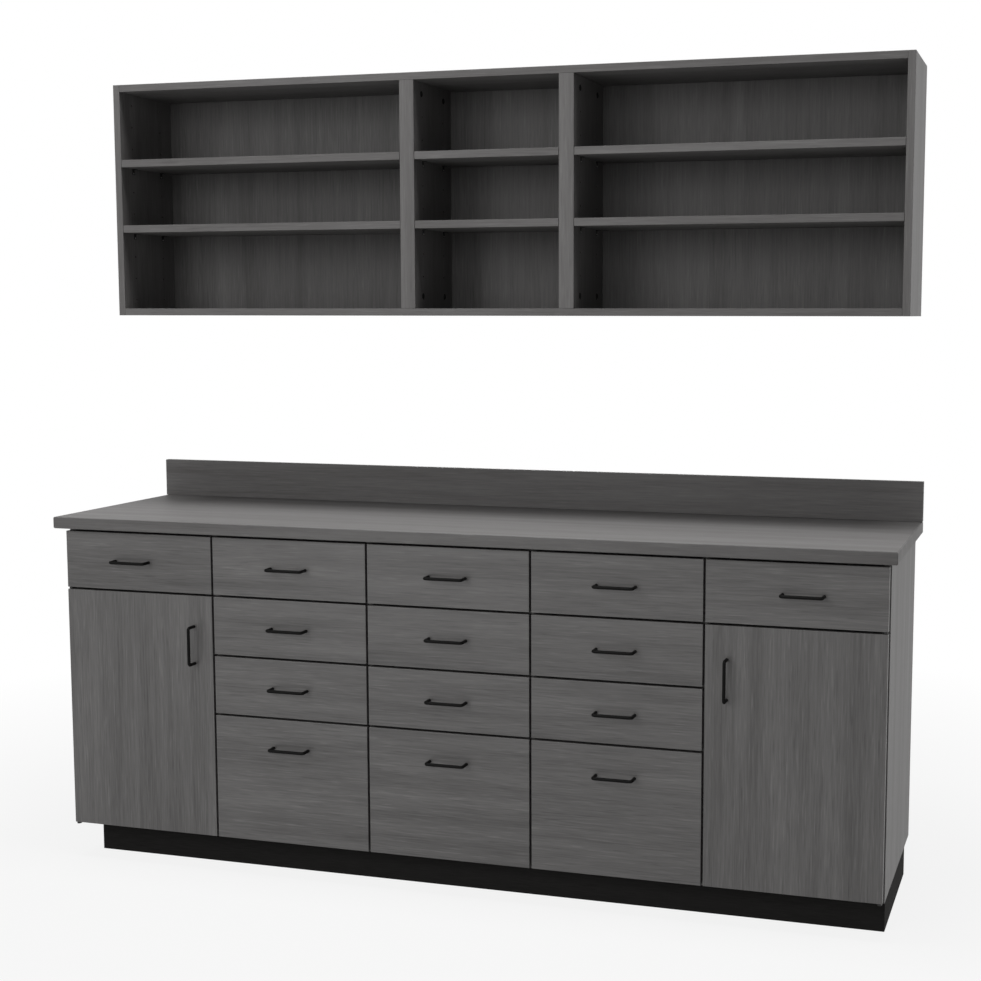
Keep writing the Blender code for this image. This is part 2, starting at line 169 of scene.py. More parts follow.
# Printed wood: noise scales per metre along, across and through a board, and how the noises share the figure
SHEET_STEP = (1.731, 2.377, 0.577)  # from one board's place in the print to the next's
SHEET_SIZE = (23.0, 31.0, 17.0)
WANDER_SCALE = (1.0, 4.0, 4.0)
WANDER = (0.0, 0.0035, 0.0035)  # how far the streaks sway
CLOUD_SCALE = (1.1, 22.0, 22.0)
STREAK_SCALE = (8.0, 230.0, 230.0)
STREAK_ROUGHNESS = 0.62
FIBRE_SCALE = (20.0, 560.0, 560.0)
FLECK_SCALE = (14.0, 270.0, 270.0)
STREAK_SHARE = 0.45
FIBRE_SHARE = 0.15
FIGURE_STOPS = (0.32, 0.5, 0.68)
LINE_STOPS = (0.27, 0.38, 0.60, 0.72)
PORE_CONTRAST = 0.5  # times the figure's own contrast
FLECK_CONTRAST = 0.6
DARK_HUE = (1.01, 0.995, 0.985)
LIGHT_HUE = (0.995, 1.005, 1.0)
SHEEN_SPREAD = 0.07
PORE_BUMP = 0.25

# Plain finishes: fine grain, and patches in it
GRAIN_ROUGHNESS = 0.6
GRAIN_BUMP = 0.35
GRAIN_STOPS = (0.30, 0.70)
PATCH_SIZE = 40.0  # times the grain's
PATCH_SHARE = 0.4
GLOSS_BELOW = 0.06
GLOSS_ABOVE = 0.08

# Floor, and the distances from the middle between which its shadow clears to white
FLOOR_REACH = 40.0
FLOOR_DROP = 0.0005
FLOOR_GREY = 0.50
FLOOR_ROUGHNESS = 0.9
CLEARING_START = 1.3
CLEARING_END = 3.0
CLEARING_FROM = 0.86  # share of white at the start

# Camera, from a fit to the straight edges of the object
CAMERA_PLACE = (1.47268, -4.02669, 1.43906)
CAMERA_TURN = 0.29879
CAMERA_TILT = 0.11307  # below level
CAMERA_ROLL = 0.0010
CAMERA_LENS = 61.512
CAMERA_SENSOR = 36.0
CAMERA_SHIFT = (-0.08094, 0.01431)
CAMERA_REACH = 200.0

# Light: the soft boxes as name, place, what they face, width, depth and power
WORLD_LIGHT = 0.03
SOFT_BOXES = (
    ("top_light", (-0.1, -0.36, 5.0), (-0.1, -0.36, 0.0), 4.0, 1.4, 170.0),
    ("right_light", (5.0, 1.0, 2.0), (1.0, 0.2, 1.0), 3.0, 3.0, 57.0),
    ("front_light", (-2.2, -4.3, 3.0), (0.0, -0.2, 1.3), 2.5, 2.5, 69.0),
    ("fill_light", (0.3, -4.8, 2.4), (0.0, -0.2, 1.2), 2.0, 2.0, 34.0),
    ("low_light", (-1.8, -4.6, 0.8), (0.0, -0.2, 0.8), 1.0, 1.0, 13.0),
    ("back_light", (-1.5, 5.0, 0.9), (0.0, 0.3, 1.0), 1.5, 1.5, 50.0),
)


# Materials

def new_material(name, colour, roughness, metallic=0.0, shine=0.5):
    material = bpy.data.materials.new(name)
    material.use_nodes = True
    material.diffuse_color = (*colour, 1.0)
    shader = material.node_tree.nodes["Principled BSDF"]
    shader.inputs["Base Color"].default_value = (*colour, 1.0)
    shader.inputs["Roughness"].default_value = roughness
    shader.inputs["Metallic"].default_value = metallic
    shader.inputs["Specular IOR Level"].default_value = shine
    return material, material.node_tree, shader


def stretched_noise(tree, coords, scale, detail, roughness=0.55):
    """Noise drawn out by a different scale along each axis. Returns its value and its colour."""
    mapping = tree.nodes.new("ShaderNodeMapping")
    mapping.inputs["Scale"].default_value = scale
    tree.links.new(coords, mapping.inputs["Vector"])
    noise = tree.nodes.new("ShaderNodeTexNoise")
    noise.inputs["Scale"].default_value = 1.0
    noise.inputs["Detail"].default_value = detail
    noise.inputs["Roughness"].default_value = roughness
    tree.links.new(mapping.outputs["Vector"], noise.inputs["Vector"])
    return noise.outputs[0], noise.outputs["Color"]


def mixed_values(tree, first, second, share):
    mix = tree.nodes.new("ShaderNodeMix")
    mix.data_type = "FLOAT"
    mix.inputs[0].default_value = share
    tree.links.new(first, mix.inputs[2])
    tree.links.new(second, mix.inputs[3])
    return mix.outputs[0]


def ramp(tree, value, stops, colours):
    """Turns a value into colours, with one colour at each stop."""
    node = tree.nodes.new("ShaderNodeValToRGB")
    elements = node.color_ramp.elements
    while len(elements) < len(stops):
        elements.new(0.5)
    for element, stop, colour in zip(elements, stops, colours):
        element.position = stop
        element.color = (*colour, 1.0)
    tree.links.new(value, node.inputs[0])
    return node.outputs[0]


def multiplied(tree, first, second):
    mix = tree.nodes.new("ShaderNodeMix")
    mix.data_type = "RGBA"
    mix.blend_type = "MULTIPLY"
    mix.inputs[0].default_value = 1.0
    tree.links.new(first, mix.inputs[6])
    tree.links.new(second, mix.inputs[7])
    return mix.outputs[2]


def value_range(tree, value, low, high):
    node = tree.nodes.new("ShaderNodeMapRange")
    node.inputs["To Min"].default_value = low
    node.inputs["To Max"].default_value = high
    tree.links.new(value, node.inputs["Value"])
    return node


def roughen(tree, shader, height, strength, depth):
    bump = tree.nodes.new("ShaderNodeBump")
    bump.inputs["Strength"].default_value = strength
    bump.inputs["Distance"].default_value = depth
    tree.links.new(height, bump.inputs["Height"])
    tree.links.new(bump.outputs["Normal"], shader.inputs["Normal"])


def tinted(colour, amount, hue=(1.0, 1.0, 1.0)):
    return tuple(channel * part * amount for channel, part in zip(colour, hue))


def wood_laminate(name, colour, contrast, roughness, pore_depth, shine):
    """Printed grey wood: wandering streaks, fine fibres, pale flecks and dark pores along the grain."""
    material, tree, shader = new_material(name, colour, roughness, shine=shine)
    board = tree.nodes.new("ShaderNodeAttribute")
    board.attribute_name = "grain"
    coords = board.outputs["Vector"]

    wander = stretched_noise(tree, coords, WANDER_SCALE, detail=2.0)[1]
    centred = tree.nodes.new("ShaderNodeVectorMath")
    centred.operation = "SUBTRACT"
    centred.inputs[1].default_value = (0.5, 0.5, 0.5)
    tree.links.new(wander, centred.inputs[0])
    sway = tree.nodes.new("ShaderNodeVectorMath")
    sway.operation = "MULTIPLY_ADD"
    sway.inputs[1].default_value = WANDER
    tree.links.new(centred.outputs[0], sway.inputs[0])
    tree.links.new(coords, sway.inputs[2])
    wavy = sway.outputs[0]

    clouds = stretched_noise(tree, wavy, CLOUD_SCALE, detail=2.0)[0]
    streaks = stretched_noise(tree, wavy, STREAK_SCALE, detail=3.0, roughness=STREAK_ROUGHNESS)[0]
    fibres = stretched_noise(tree, wavy, FIBRE_SCALE, detail=2.0)[0]
    flecks = stretched_noise(tree, wavy, FLECK_SCALE, detail=1.0)[0]
    figure = mixed_values(tree, clouds, streaks, STREAK_SHARE)
    figure = mixed_values(tree, figure, fibres, FIBRE_SHARE)

    dark = tinted(colour, 1.0 - contrast, DARK_HUE)
    light = tinted(colour, 1.0 + contrast, LIGHT_HUE)
    wood = ramp(tree, figure, FIGURE_STOPS, (dark, colour, light))
    plain = (1.0, 1.0, 1.0)
    pore = tinted(plain, 1.0 - PORE_CONTRAST * contrast)
    fleck = tinted(plain, 1.0 + FLECK_CONTRAST * contrast)
    lines = ramp(tree, flecks, LINE_STOPS, (pore, plain, plain, fleck))
    tree.links.new(multiplied(tree, wood, lines), shader.inputs["Base Color"])
    sheen = value_range(tree, streaks, roughness - SHEEN_SPREAD, roughness + SHEEN_SPREAD)
    tree.links.new(sheen.outputs[0], shader.inputs["Roughness"])
    roughen(tree, shader, mixed_values(tree, streaks, flecks, 0.5), PORE_BUMP, pore_depth)
    return material


def object_coords(tree):
    return tree.nodes.new("ShaderNodeTexCoord").outputs["Object"]


def speckled(name, colour, spread, scale, roughness, metallic=0.0, bump=0.0, shine=0.5):
    """A plain finish with fine grain in its colour, gloss and surface."""
    material, tree, shader = new_material(name, colour, roughness, metallic, shine)
    coords = object_coords(tree)
    grain = stretched_noise(tree, coords, scale, detail=3.0, roughness=GRAIN_ROUGHNESS)[0]
    patch_scale = tuple(axis / PATCH_SIZE for axis in scale)
    patches = stretched_noise(tree, coords, patch_scale, detail=2.0)[0]
    mottle = mixed_values(tree, grain, patches, PATCH_SHARE)
    shades = (tinted(colour, 1.0 - spread), tinted(colour, 1.0 + spread))
    tree.links.new(ramp(tree, mottle, GRAIN_STOPS, shades), shader.inputs["Base Color"])
    gloss = value_range(tree, patches, roughness - GLOSS_BELOW, roughness + GLOSS_ABOVE)
    tree.links.new(gloss.outputs[0], shader.inputs["Roughness"])
    if bump:
        roughen(tree, shader, grain, GRAIN_BUMP, bump)
    return material


FRONT_LAMINATE = wood_laminate("front_laminate", (0.1012, 0.0975, 0.0962), contrast=0.46, roughness=0.38,
                               pore_depth=0.0003, shine=0.5)
CARCASS_LAMINATE = wood_laminate("carcass_laminate", (0.139, 0.1346, 0.1331), contrast=0.30, roughness=0.55,
                                 pore_depth=0.0003, shine=0.25)
# Painted shade: the wall unit's back sheet takes a darker copy of the carcass laminate, standing for the
# shade deep in the bays.
SHADED_BACK_LAMINATE = wood_laminate("back_sheet_laminate", (0.1015, 0.0983, 0.0972), contrast=0.38, roughness=0.55,
                              pore_depth=0.0003, shine=0.25)
TOP_LAMINATE = wood_laminate("worktop_laminate", (0.150, 0.1457, 0.1443), contrast=0.24, roughness=0.55,
                             pore_depth=0.0001, shine=0.1)
LAMINATE_CORE = speckled("laminate_core_line", (0.050, 0.047, 0.045), spread=0.2, scale=(900.0,) * 3,
                         roughness=0.6)
KICK_BLACK = speckled("black_kick_board", (0.0250, 0.0242, 0.0236), spread=0.25, scale=(25.0, 500.0, 500.0),
                      roughness=0.7, bump=0.0001, shine=0.01)
PULL_BLACK = speckled("black_powder_coat", (0.0048, 0.0046, 0.0045), spread=0.3, scale=(1400.0,) * 3,
                      roughness=0.45, bump=0.00008, shine=0.06)
HINGE_BLACK = speckled("black_hinge_steel", (0.0200, 0.0198, 0.0195), spread=0.2, scale=(900.0, 60.0, 900.0),
                       roughness=0.45, metallic=0.6)
ZINC = speckled("zinc_plated_steel", (0.52, 0.525, 0.53), spread=0.12, scale=(700.0, 14.0, 700.0),
                roughness=0.34, metallic=1.0, bump=0.00003)
SCREW_STEEL = speckled("screw_steel", (0.46, 0.46, 0.45), spread=0.15, scale=(600.0,) * 3, roughness=0.32,
                       metallic=1.0)
# Partly painted shade: the shelf brackets are near black, both for their dark steel and for the shadow under
# the shelves.
BRACKET_STEEL_AND_SHADE = speckled("shelf_bracket_steel", (0.012, 0.0118, 0.0115), spread=0.2, scale=(800.0,) * 3,
                         roughness=0.45, metallic=0.3)
CAP_BLACK = speckled("black_cap_plastic", (0.005, 0.005, 0.005), spread=0.2, scale=(900.0,) * 3,
                     roughness=0.55, bump=0.00005, shine=0.15)
BUMPER_RUBBER = speckled("bumper_rubber", (0.33, 0.33, 0.32), spread=0.08, scale=(700.0,) * 3, roughness=0.35)
BOX_MELAMINE = speckled("box_melamine", (0.50, 0.495, 0.485), spread=0.05, scale=(520.0,) * 3, roughness=0.42,
                        bump=0.00005)
# Painted shade: the bores' core is far darker than a board's real core, so that the pin holes read as shaded
# dots.
SHADED_BORE_CORE = speckled("raw_board_core", (0.040, 0.034, 0.028), spread=0.35, scale=(650.0,) * 3, roughness=0.85)


# Boards and other shapes

BOARD_NUMBERS = itertools.count(1)


def grain_offset():
    """Cuts each board from another place in the printed sheet."""
    number = next(BOARD_NUMBERS)
    return Vector([number * step % size for step, size in zip(SHEET_STEP, SHEET_SIZE)])


def write_grain(mesh, low, high, along):
    """Gives each point its place in the board: along the grain, across it and through the thickness."""
    others = sorted((axis for axis in (X, Y, Z) if axis != along), key=lambda axis: low[axis] - high[axis])
    order = (along, *others)
    offset = grain_offset()
    attribute = mesh.attributes.new("grain", "FLOAT_VECTOR", "POINT")
    for vertex, item in zip(mesh.vertices, attribute.data):
        item.vector = [vertex.co[axis] - low[axis] + shift for axis, shift in zip(order, offset)]


def mesh_of(shape, name):
    """Turns a bmesh into a mesh, and frees it."""
    mesh = bpy.data.meshes.new(name)
    shape.to_mesh(mesh)
    shape.free()
    return mesh


def block_shape(low, high):
    shape = bmesh.new()
    place = Matrix.Translation((low + high) / 2) @ Matrix.Diagonal((*(high - low), 1.0))
    bmesh.ops.create_cube(shape, size=1.0, matrix=place)
    return shape


def ease_edges(shape, edges, ease, steps):
    bmesh.ops.bevel(shape, geom=edges, offset=ease, segments=steps, profile=0.5, affect="EDGES")


def sort_faces(shape):
    """Puts faces in the order of their points, because a second bevel leaves them in no fixed order."""
    shape.verts.index_update()
    count = len(shape.verts)

    def place(face):
        first, second, third = sorted(vert.index for vert in face.verts)[:3]
        return (first * count + second) * count + third

    shape.faces.sort(key=place)


def board_mesh(low, high, along, ease=BOARD_EASE, steps=BOARD_EASE_STEPS):
    """One board between two corners, with eased edges and its grain along an axis."""
    low = Vector(low)
    high = Vector(high)
    shape = block_shape(low, high)
    ease_edges(shape, shape.edges[:], ease, steps)
    mesh = mesh_of(shape, "board")
    write_grain(mesh, low, high, along)
    return mesh


def bare_board(low, high, along, ease=BOARD_EASE, steps=BOARD_EASE_STEPS):
    """A board without its grain, which is written after it is cut."""
    mesh = board_mesh(low, high, along, ease, steps)
    mesh.attributes.remove(mesh.attributes["grain"])
    return mesh


def extruded_mesh(outline, start, end):
    """A section drawn in x and z, drawn out along y."""
    shape = bmesh.new()
    near = [shape.verts.new((x, start, z)) for x, z in outline]
    far = [shape.verts.new((x, end, z)) for x, z in outline]
    shape.faces.new(near)
    shape.faces.new(reversed(far))
    for index in range(len(outline)):
        following = (index + 1) % len(outline)
        shape.faces.new((near[following], near[index], far[index], far[following]))
    bmesh.ops.recalc_face_normals(shape, faces=shape.faces)
    return mesh_of(shape, "section")


def turned_mesh(profile, sides):
    """A shape turned about z from a profile of (radius, height), from its middle below to that above."""
    shape = bmesh.new()
    rings = []
    for radius, height in profile:
        if radius == 0.0:
            rings.append([shape.verts.new((0.0, 0.0, height))])
            continue
        ring = []
        for side in range(sides):
            turn = 2 * math.pi * side / sides
            ring.append(shape.verts.new((radius * math.cos(turn), radius * math.sin(turn), height)))
        rings.append(ring)
    for lower, upper in zip(rings, rings[1:]):
        for side in range(sides):
            following = (side + 1) % sides
            corners = [lower[side % len(lower)], lower[following % len(lower)]]
            corners += [upper[following % len(upper)], upper[side % len(upper)]]
            shape.faces.new(list(dict.fromkeys(corners)))
    bmesh.ops.recalc_face_normals(shape, faces=shape.faces)
    for face in shape.faces:
        face.smooth = True
    return mesh_of(shape, "turned")


def joined(meshes):
    """Several meshes as one, with all their materials."""
    materials = []
    shape = bmesh.new()
    for mesh in meshes:
        start = len(shape.faces)
        shape.from_mesh(mesh)
        shape.faces.ensure_lookup_table()
        places = []
        for material in mesh.materials:
            if material not in materials:
                materials.append(material)
            places.append(materials.index(material))
        for face in shape.faces[start:]:
            face.material_index = places[face.material_index] if places else 0
    result = mesh_of(shape, "joined")
    for material in materials:
        result.materials.append(material)
    for mesh in meshes:
        bpy.data.meshes.remove(mesh)
    return result


def painted(mesh, material):
    mesh.materials.clear()
    mesh.materials.append(material)
    return mesh


def add_piece(name, mesh, body, nodes=()):
    """A finished piece that moves with a body, and stands for the given nodes of the frame."""
    mesh.name = name
    obj = bpy.data.objects.new(name, mesh)
    scene.collection.objects.link(obj)
    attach(obj, body)
    if nodes:
        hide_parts(*nodes)
    return obj


def bench_object(name, mesh):
    """An object that only helps to make others, and is cleared away afterwards."""
    obj = bpy.data.objects.new(name, mesh)
    scene.collection.objects.link(obj)
    return obj


def clear_away(obj):
    mesh = obj.data
    bpy.data.objects.remove(obj)
    bpy.data.meshes.remove(mesh)


def finished_mesh(obj):
    """A plain mesh of an object with its modifiers applied."""
    depsgraph = bpy.context.evaluated_depsgraph_get()
    ready = obj.evaluated_get(depsgraph)
    return bpy.data.meshes.new_from_object(ready, preserve_all_data_layers=True, depsgraph=depsgraph)


def cut(mesh, tools):
    """Cuts closed tool shapes out of a mesh."""
    target = bench_object("cut_target", mesh)
    tool = bench_object("cut_tool", joined(tools))
    boolean = target.modifiers.new("cut", "BOOLEAN")
    boolean.operation = "DIFFERENCE"
    boolean.solver = "EXACT"
    boolean.object = tool
    result = finished_mesh(target)
    clear_away(target)
    clear_away(tool)
    return result


def cut_panel(low, high, tools, material, ease=BOARD_EASE):
    """An upright board with tool shapes cut out of it."""
    panel = painted(bare_board(low, high, Z, ease), material)
    panel = painted(cut(panel, tools), material)
    write_grain(panel, low, high, Z)
    return panel


# Geometry node trees

def new_tree(name, sockets):
    tree = bpy.data.node_groups.new(name, "GeometryNodeTree")
    tree.interface.new_socket("Geometry", in_out="INPUT", socket_type="NodeSocketGeometry")
    for label, kind in sockets:
        tree.interface.new_socket(label, in_out="INPUT", socket_type=f"NodeSocket{kind}")
    tree.interface.new_socket("Geometry", in_out="OUTPUT", socket_type="NodeSocketGeometry")
    source = tree.nodes.new("NodeGroupInput").outputs
    result = tree.nodes.new("NodeGroupOutput").inputs
    return tree, source, result


def end_tree(tree, geometry, material, result, where=None):
    """Ends a tree in plain geometry with its finish, on all faces or on those selected."""
    realize = tree.nodes.new("GeometryNodeRealizeInstances")
    paint = tree.nodes.new("GeometryNodeSetMaterial")
    tree.links.new(geometry, realize.inputs["Geometry"])
    tree.links.new(realize.outputs["Geometry"], paint.inputs["Geometry"])
    tree.links.new(material, paint.inputs["Material"])
    if where:
        tree.links.new(where, paint.inputs["Selection"])
    tree.links.new(paint.outputs["Geometry"], result["Geometry"])


def run_tree(tree, mesh, **values):
    """Runs a tree on a mesh, with its named inputs, and returns the plain mesh that it makes."""
    obj = bench_object(tree.name, mesh)
    modifier = obj.modifiers.new(tree.name, "NODES")
    modifier.node_group = tree
    for item in tree.interface.items_tree:
        if item.in_out == "INPUT" and item.name in values:
            modifier[item.identifier] = values[item.name]
    result = finished_mesh(obj)
    obj.modifiers.remove(modifier)
    clear_away(obj)
    return result


def wire_pull_tree():
    """A round wire along a path, with its corners bent to a radius."""
    sockets = (("Wire", "Float"), ("Bend", "Float"), ("Steps", "Int"), ("Sides", "Int"),
               ("Finish", "Material"))
    tree, source, result = new_tree("wire_pull", sockets)
    link = tree.links.new
    path = tree.nodes.new("GeometryNodeMeshToCurve")
    bend = tree.nodes.new("GeometryNodeFilletCurve")
    bend.mode = "POLY"
    bend.inputs["Limit Radius"].default_value = True
    section = tree.nodes.new("GeometryNodeCurvePrimitiveCircle")
    wire = tree.nodes.new("GeometryNodeCurveToMesh")
    wire.inputs["Fill Caps"].default_value = True
    link(source["Geometry"], path.inputs["Mesh"])
    link(path.outputs["Curve"], bend.inputs["Curve"])
    link(source["Bend"], bend.inputs["Radius"])
    link(source["Steps"], bend.inputs["Count"])
    link(source["Wire"], section.inputs["Radius"])
    link(source["Sides"], section.inputs["Resolution"])
    link(bend.outputs["Curve"], wire.inputs["Curve"])
    link(section.outputs["Curve"], wire.inputs["Profile Curve"])
    end_tree(tree, wire.outputs["Mesh"], source["Finish"], result)
    return tree


def fixings_tree():
    """A shape set on every point: its z along the point's facing, its x upwards, then turned at random."""
    sockets = (("Shape", "Object"), ("Size", "Float"), ("Turn", "Float"), ("Seed", "Int"),
               ("Finish", "Material"))
    tree, source, result = new_tree("fixings", sockets)
    link = tree.links.new
    shape = tree.nodes.new("GeometryNodeObjectInfo")
    facing = tree.nodes.new("GeometryNodeInputNamedAttribute")
    facing.data_type = "FLOAT_VECTOR"
    facing.inputs["Name"].default_value = "facing"
    align = tree.nodes.new("FunctionNodeAlignRotationToVector")
    align.axis = "Z"
    upright = tree.nodes.new("FunctionNodeAlignRotationToVector")
    upright.axis = "X"
    upright.pivot_axis = "Z"
    upright.inputs["Vector"].default_value = (0.0, 0.0, 1.0)
    most = tree.nodes.new("ShaderNodeCombineXYZ")
    turn = tree.nodes.new("FunctionNodeRandomValue")
    turn.data_type = "FLOAT_VECTOR"
    turn.inputs["Min"].default_value = (0.0, 0.0, 0.0)
    place = tree.nodes.new("GeometryNodeInstanceOnPoints")
    rotate = tree.nodes.new("GeometryNodeRotateInstances")
    link(source["Shape"], shape.inputs["Object"])
    link(facing.outputs["Attribute"], align.inputs["Vector"])
    link(align.outputs["Rotation"], upright.inputs["Rotation"])
    link(source["Turn"], most.inputs["Z"])
    link(most.outputs["Vector"], turn.inputs["Max"])
    link(source["Seed"], turn.inputs["Seed"])
    link(source["Geometry"], place.inputs["Points"])
    link(shape.outputs["Geometry"], place.inputs["Instance"])
    link(upright.outputs["Rotation"], place.inputs["Rotation"])
    link(source["Size"], place.inputs["Scale"])
    link(place.outputs["Instances"], rotate.inputs["Instances"])
    link(turn.outputs["Value"], rotate.inputs["Rotation"])
    end_tree(tree, rotate.outputs["Instances"], source["Finish"], result)
    return tree


def pin_holes_tree():
    """Two upright rows of blind holes, bored along x into a board; their walls take a dark core colour that
    is painted shade.
    """
    sockets = (("First", "Vector"), ("Row_step", "Vector"), ("Pitch", "Vector"), ("Count", "Int"),
               ("Radius", "Float"), ("Length", "Float"), ("Core", "Material"), ("Finish", "Material"))
    tree, source, result = new_tree("pin_holes", sockets)
    link = tree.links.new
    row = tree.nodes.new("GeometryNodeMeshLine")
    second_row = tree.nodes.new("GeometryNodeTransform")
    rows = tree.nodes.new("GeometryNodeJoinGeometry")
    drill = tree.nodes.new("GeometryNodeMeshCylinder")
    drill.inputs["Vertices"].default_value = HOLE_SIDES
    place = tree.nodes.new("GeometryNodeInstanceOnPoints")
    place.inputs["Rotation"].default_value = (0.0, math.pi / 2, 0.0)
    realize = tree.nodes.new("GeometryNodeRealizeInstances")
    core = tree.nodes.new("GeometryNodeSetMaterial")
    bored = tree.nodes.new("GeometryNodeMaterialSelection")
    outside = tree.nodes.new("FunctionNodeBooleanMath")
    outside.operation = "NOT"
    face = tree.nodes.new("GeometryNodeSetMaterial")
    bore = tree.nodes.new("GeometryNodeMeshBoolean")
    bore.operation = "DIFFERENCE"
    bore.solver = "EXACT"
    link(source["Count"], row.inputs["Count"])
    link(source["First"], row.inputs["Start Location"])
    link(source["Pitch"], row.inputs["Offset"])
    link(row.outputs["Mesh"], second_row.inputs["Geometry"])
    link(source["Row_step"], second_row.inputs["Translation"])
    link(row.outputs["Mesh"], rows.inputs["Geometry"])
    link(second_row.outputs["Geometry"], rows.inputs["Geometry"])
    link(source["Radius"], drill.inputs["Radius"])
    link(source["Length"], drill.inputs["Depth"])
    link(rows.outputs["Geometry"], place.inputs["Points"])
    link(drill.outputs["Mesh"], place.inputs["Instance"])
    link(place.outputs["Instances"], realize.inputs["Geometry"])
    # The bores' walls get the dark core colour, which is painted shade.
    link(realize.outputs["Geometry"], core.inputs["Geometry"])
    link(source["Core"], core.inputs["Material"])
    link(source["Core"], bored.inputs["Material"])
    link(bored.outputs["Selection"], outside.inputs[0])
    link(source["Geometry"], face.inputs["Geometry"])
    link(outside.outputs[0], face.inputs["Selection"])
    link(source["Finish"], face.inputs["Material"])
    link(face.outputs["Geometry"], bore.inputs["Mesh 1"])
    link(core.outputs["Geometry"], bore.inputs["Mesh 2"])
    end_tree(tree, bore.outputs["Mesh"], source["Finish"], result, outside.outputs[0])
    return tree


WIRE_PULL = wire_pull_tree()
FIXINGS = fixings_tree()
PIN_HOLES = pin_holes_tree()


# Small shapes that are set on points, each standing on z = 0

def shelf_bracket_mesh():
    """A bent steel bracket, x upwards and z out from the board: a flange for the shelf, a lip and a peg."""
    sheet = BRACKET_SHEET
    top = PEG_DROP
    foot = -BRACKET_DROP
    outline = (
        (top, 0.0), (top, BRACKET_REACH - sheet / 3), (top - sheet / 3, BRACKET_REACH),
        (top - sheet * 2 / 3, BRACKET_REACH), (top - sheet, BRACKET_REACH - sheet / 3),
        (top - sheet, sheet * 2), (top - sheet * 1.3, sheet * 1.3), (top - sheet * 2, sheet),
        (foot + sheet * 2, sheet), (foot + sheet * 1.3, sheet * 1.3), (foot + sheet, sheet * 2),
        (foot + sheet, LIP_REACH - sheet / 3), (foot + sheet * 2 / 3, LIP_REACH),
        (foot + sheet / 3, LIP_REACH), (foot, LIP_REACH - sheet / 3), (foot, sheet),
        (foot + sheet / 3, sheet / 3), (foot + sheet, 0.0),
    )
    strip = extruded_mesh(outline, -BRACKET_WIDTH / 2, BRACKET_WIDTH / 2)
    radius = PIN_RADIUS - PEG_PLAY
    peg = ((0.0, -0.0080), (0.0019, -0.0080), (radius, -0.0074), (radius, sheet), (0.0034, sheet),
           (0.0032, sheet + 0.0006), (0.0020, sheet + 0.0011), (0.0, sheet + 0.0012))
    return joined([strip, turned_mesh(peg, PEG_SIDES)])


SCREW_PROFILE = ((0.0, -0.0004), (0.0040, -0.0004), (0.0040, 0.0006), (0.0034, 0.0014), (0.0020, 0.0019),
                 (0.0013, 0.0019), (0.0012, 0.0007), (0.0, 0.0006))
CAP_PROFILE = ((0.0, -0.0003), (CAP_RADIUS, -0.0003), (CAP_RADIUS, 0.0006), (CAP_RADIUS * 0.88, 0.0012),
               (CAP_RADIUS * 0.5, 0.0015), (CAP_RADIUS * 0.42, 0.0011), (0.0, 0.0010))
BUMPER_PROFILE = ((0.0, -0.0002), (0.0032, -0.0002), (0.0032, 0.0009), (0.0027, 0.0017),
                  (0.0016, BUMPER_HEIGHT), (0.0, BUMPER_HEIGHT))

SCREW_HEAD = bench_object("screw_head_shape", turned_mesh(SCREW_PROFILE, SCREW_SIDES))
SHELF_BRACKET = bench_object("shelf_bracket_shape", shelf_bracket_mesh())
CONNECTOR_CAP = bench_object("connector_cap_shape", turned_mesh(CAP_PROFILE, CAP_SIDES))
BUMPER = bench_object("bumper_shape", turned_mesh(BUMPER_PROFILE, BUMPER_SIDES))


def fixings(points, shape, finish, seed, size=1.0, turn=2 * math.pi):
    """Sets one shape on each of the points, given as (place, facing), each turned at random up to a most."""
    mesh = bpy.data.meshes.new("points")
    mesh.from_pydata([place for place, facing in points], [], [])
    attribute = mesh.attributes.new("facing", "FLOAT_VECTOR", "POINT")
    for item, (place, facing) in zip(attribute.data, points):
        item.vector = facing
    return run_tree(FIXINGS, mesh, Shape=shape, Size=size, Turn=turn, Seed=seed, Finish=finish)


def bumpers(edges, low, high, back, seed):
    """Bumpers on the back of a front, near the lower and upper ends of the given edges (x)."""
    levels = (low.z + BUMPER_RISE, high.z - BUMPER_RISE)
    points = [((x, back, z), TO_WALL) for x in edges for z in levels]
    return fixings(points, BUMPER, BUMPER_RUBBER, seed)


def pull_bolts(node, along, back, seed):
    """The heads of a pull's two bolts, behind what it is screwed to."""
    low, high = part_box(node)
    points = []
    for side in (-1, 1):
        place = (low + high) / 2
        place.y = back
        place[along] += side * PULL_CENTRES / 2
        points.append((place, TO_WALL))
    return fixings(points, SCREW_HEAD, SCREW_STEEL, seed, BOLT_SIZE)


def pull_mesh(node, along):
    """A wire pull in the box of its node, with its bar along an axis."""
    low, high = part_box(node)
    middle = (low + high) / 2
    bar_y = low.y + PULL_WIRE / 2
    half = PULL_CENTRES / 2
    path = []
    for offset, y in ((-half, high.y), (-half, bar_y), (half, bar_y), (half, high.y)):
        point = Vector((middle.x, y, middle.z))
        point[along] += offset
        path.append(point)
    mesh = bpy.data.meshes.new("pull_path")
    mesh.from_pydata(path, [(0, 1), (1, 2), (2, 3)], [])
    wire = run_tree(WIRE_PULL, mesh, Wire=PULL_WIRE / 2, Bend=PULL_BEND, Steps=PULL_BEND_STEPS,
                    Sides=PULL_SIDES, Finish=PULL_BLACK)
    shape = bmesh.new()
    shape.from_mesh(wire)
    bmesh.ops.remove_doubles(shape, verts=shape.verts, dist=WELD)
    bmesh.ops.recalc_face_normals(shape, faces=shape.faces)
    for face in shape.faces:
        face.smooth = len(face.verts) == 4
    shape.to_mesh(wire)
    shape.free()
    return wire


# Base cabinet

FRONT_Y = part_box("left_door")[0].y
CARCASS_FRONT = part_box("base_deck")[0].y
HALF_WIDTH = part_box("base_right_end")[1].x
BOX_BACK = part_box("drawer_1_1")[1].y


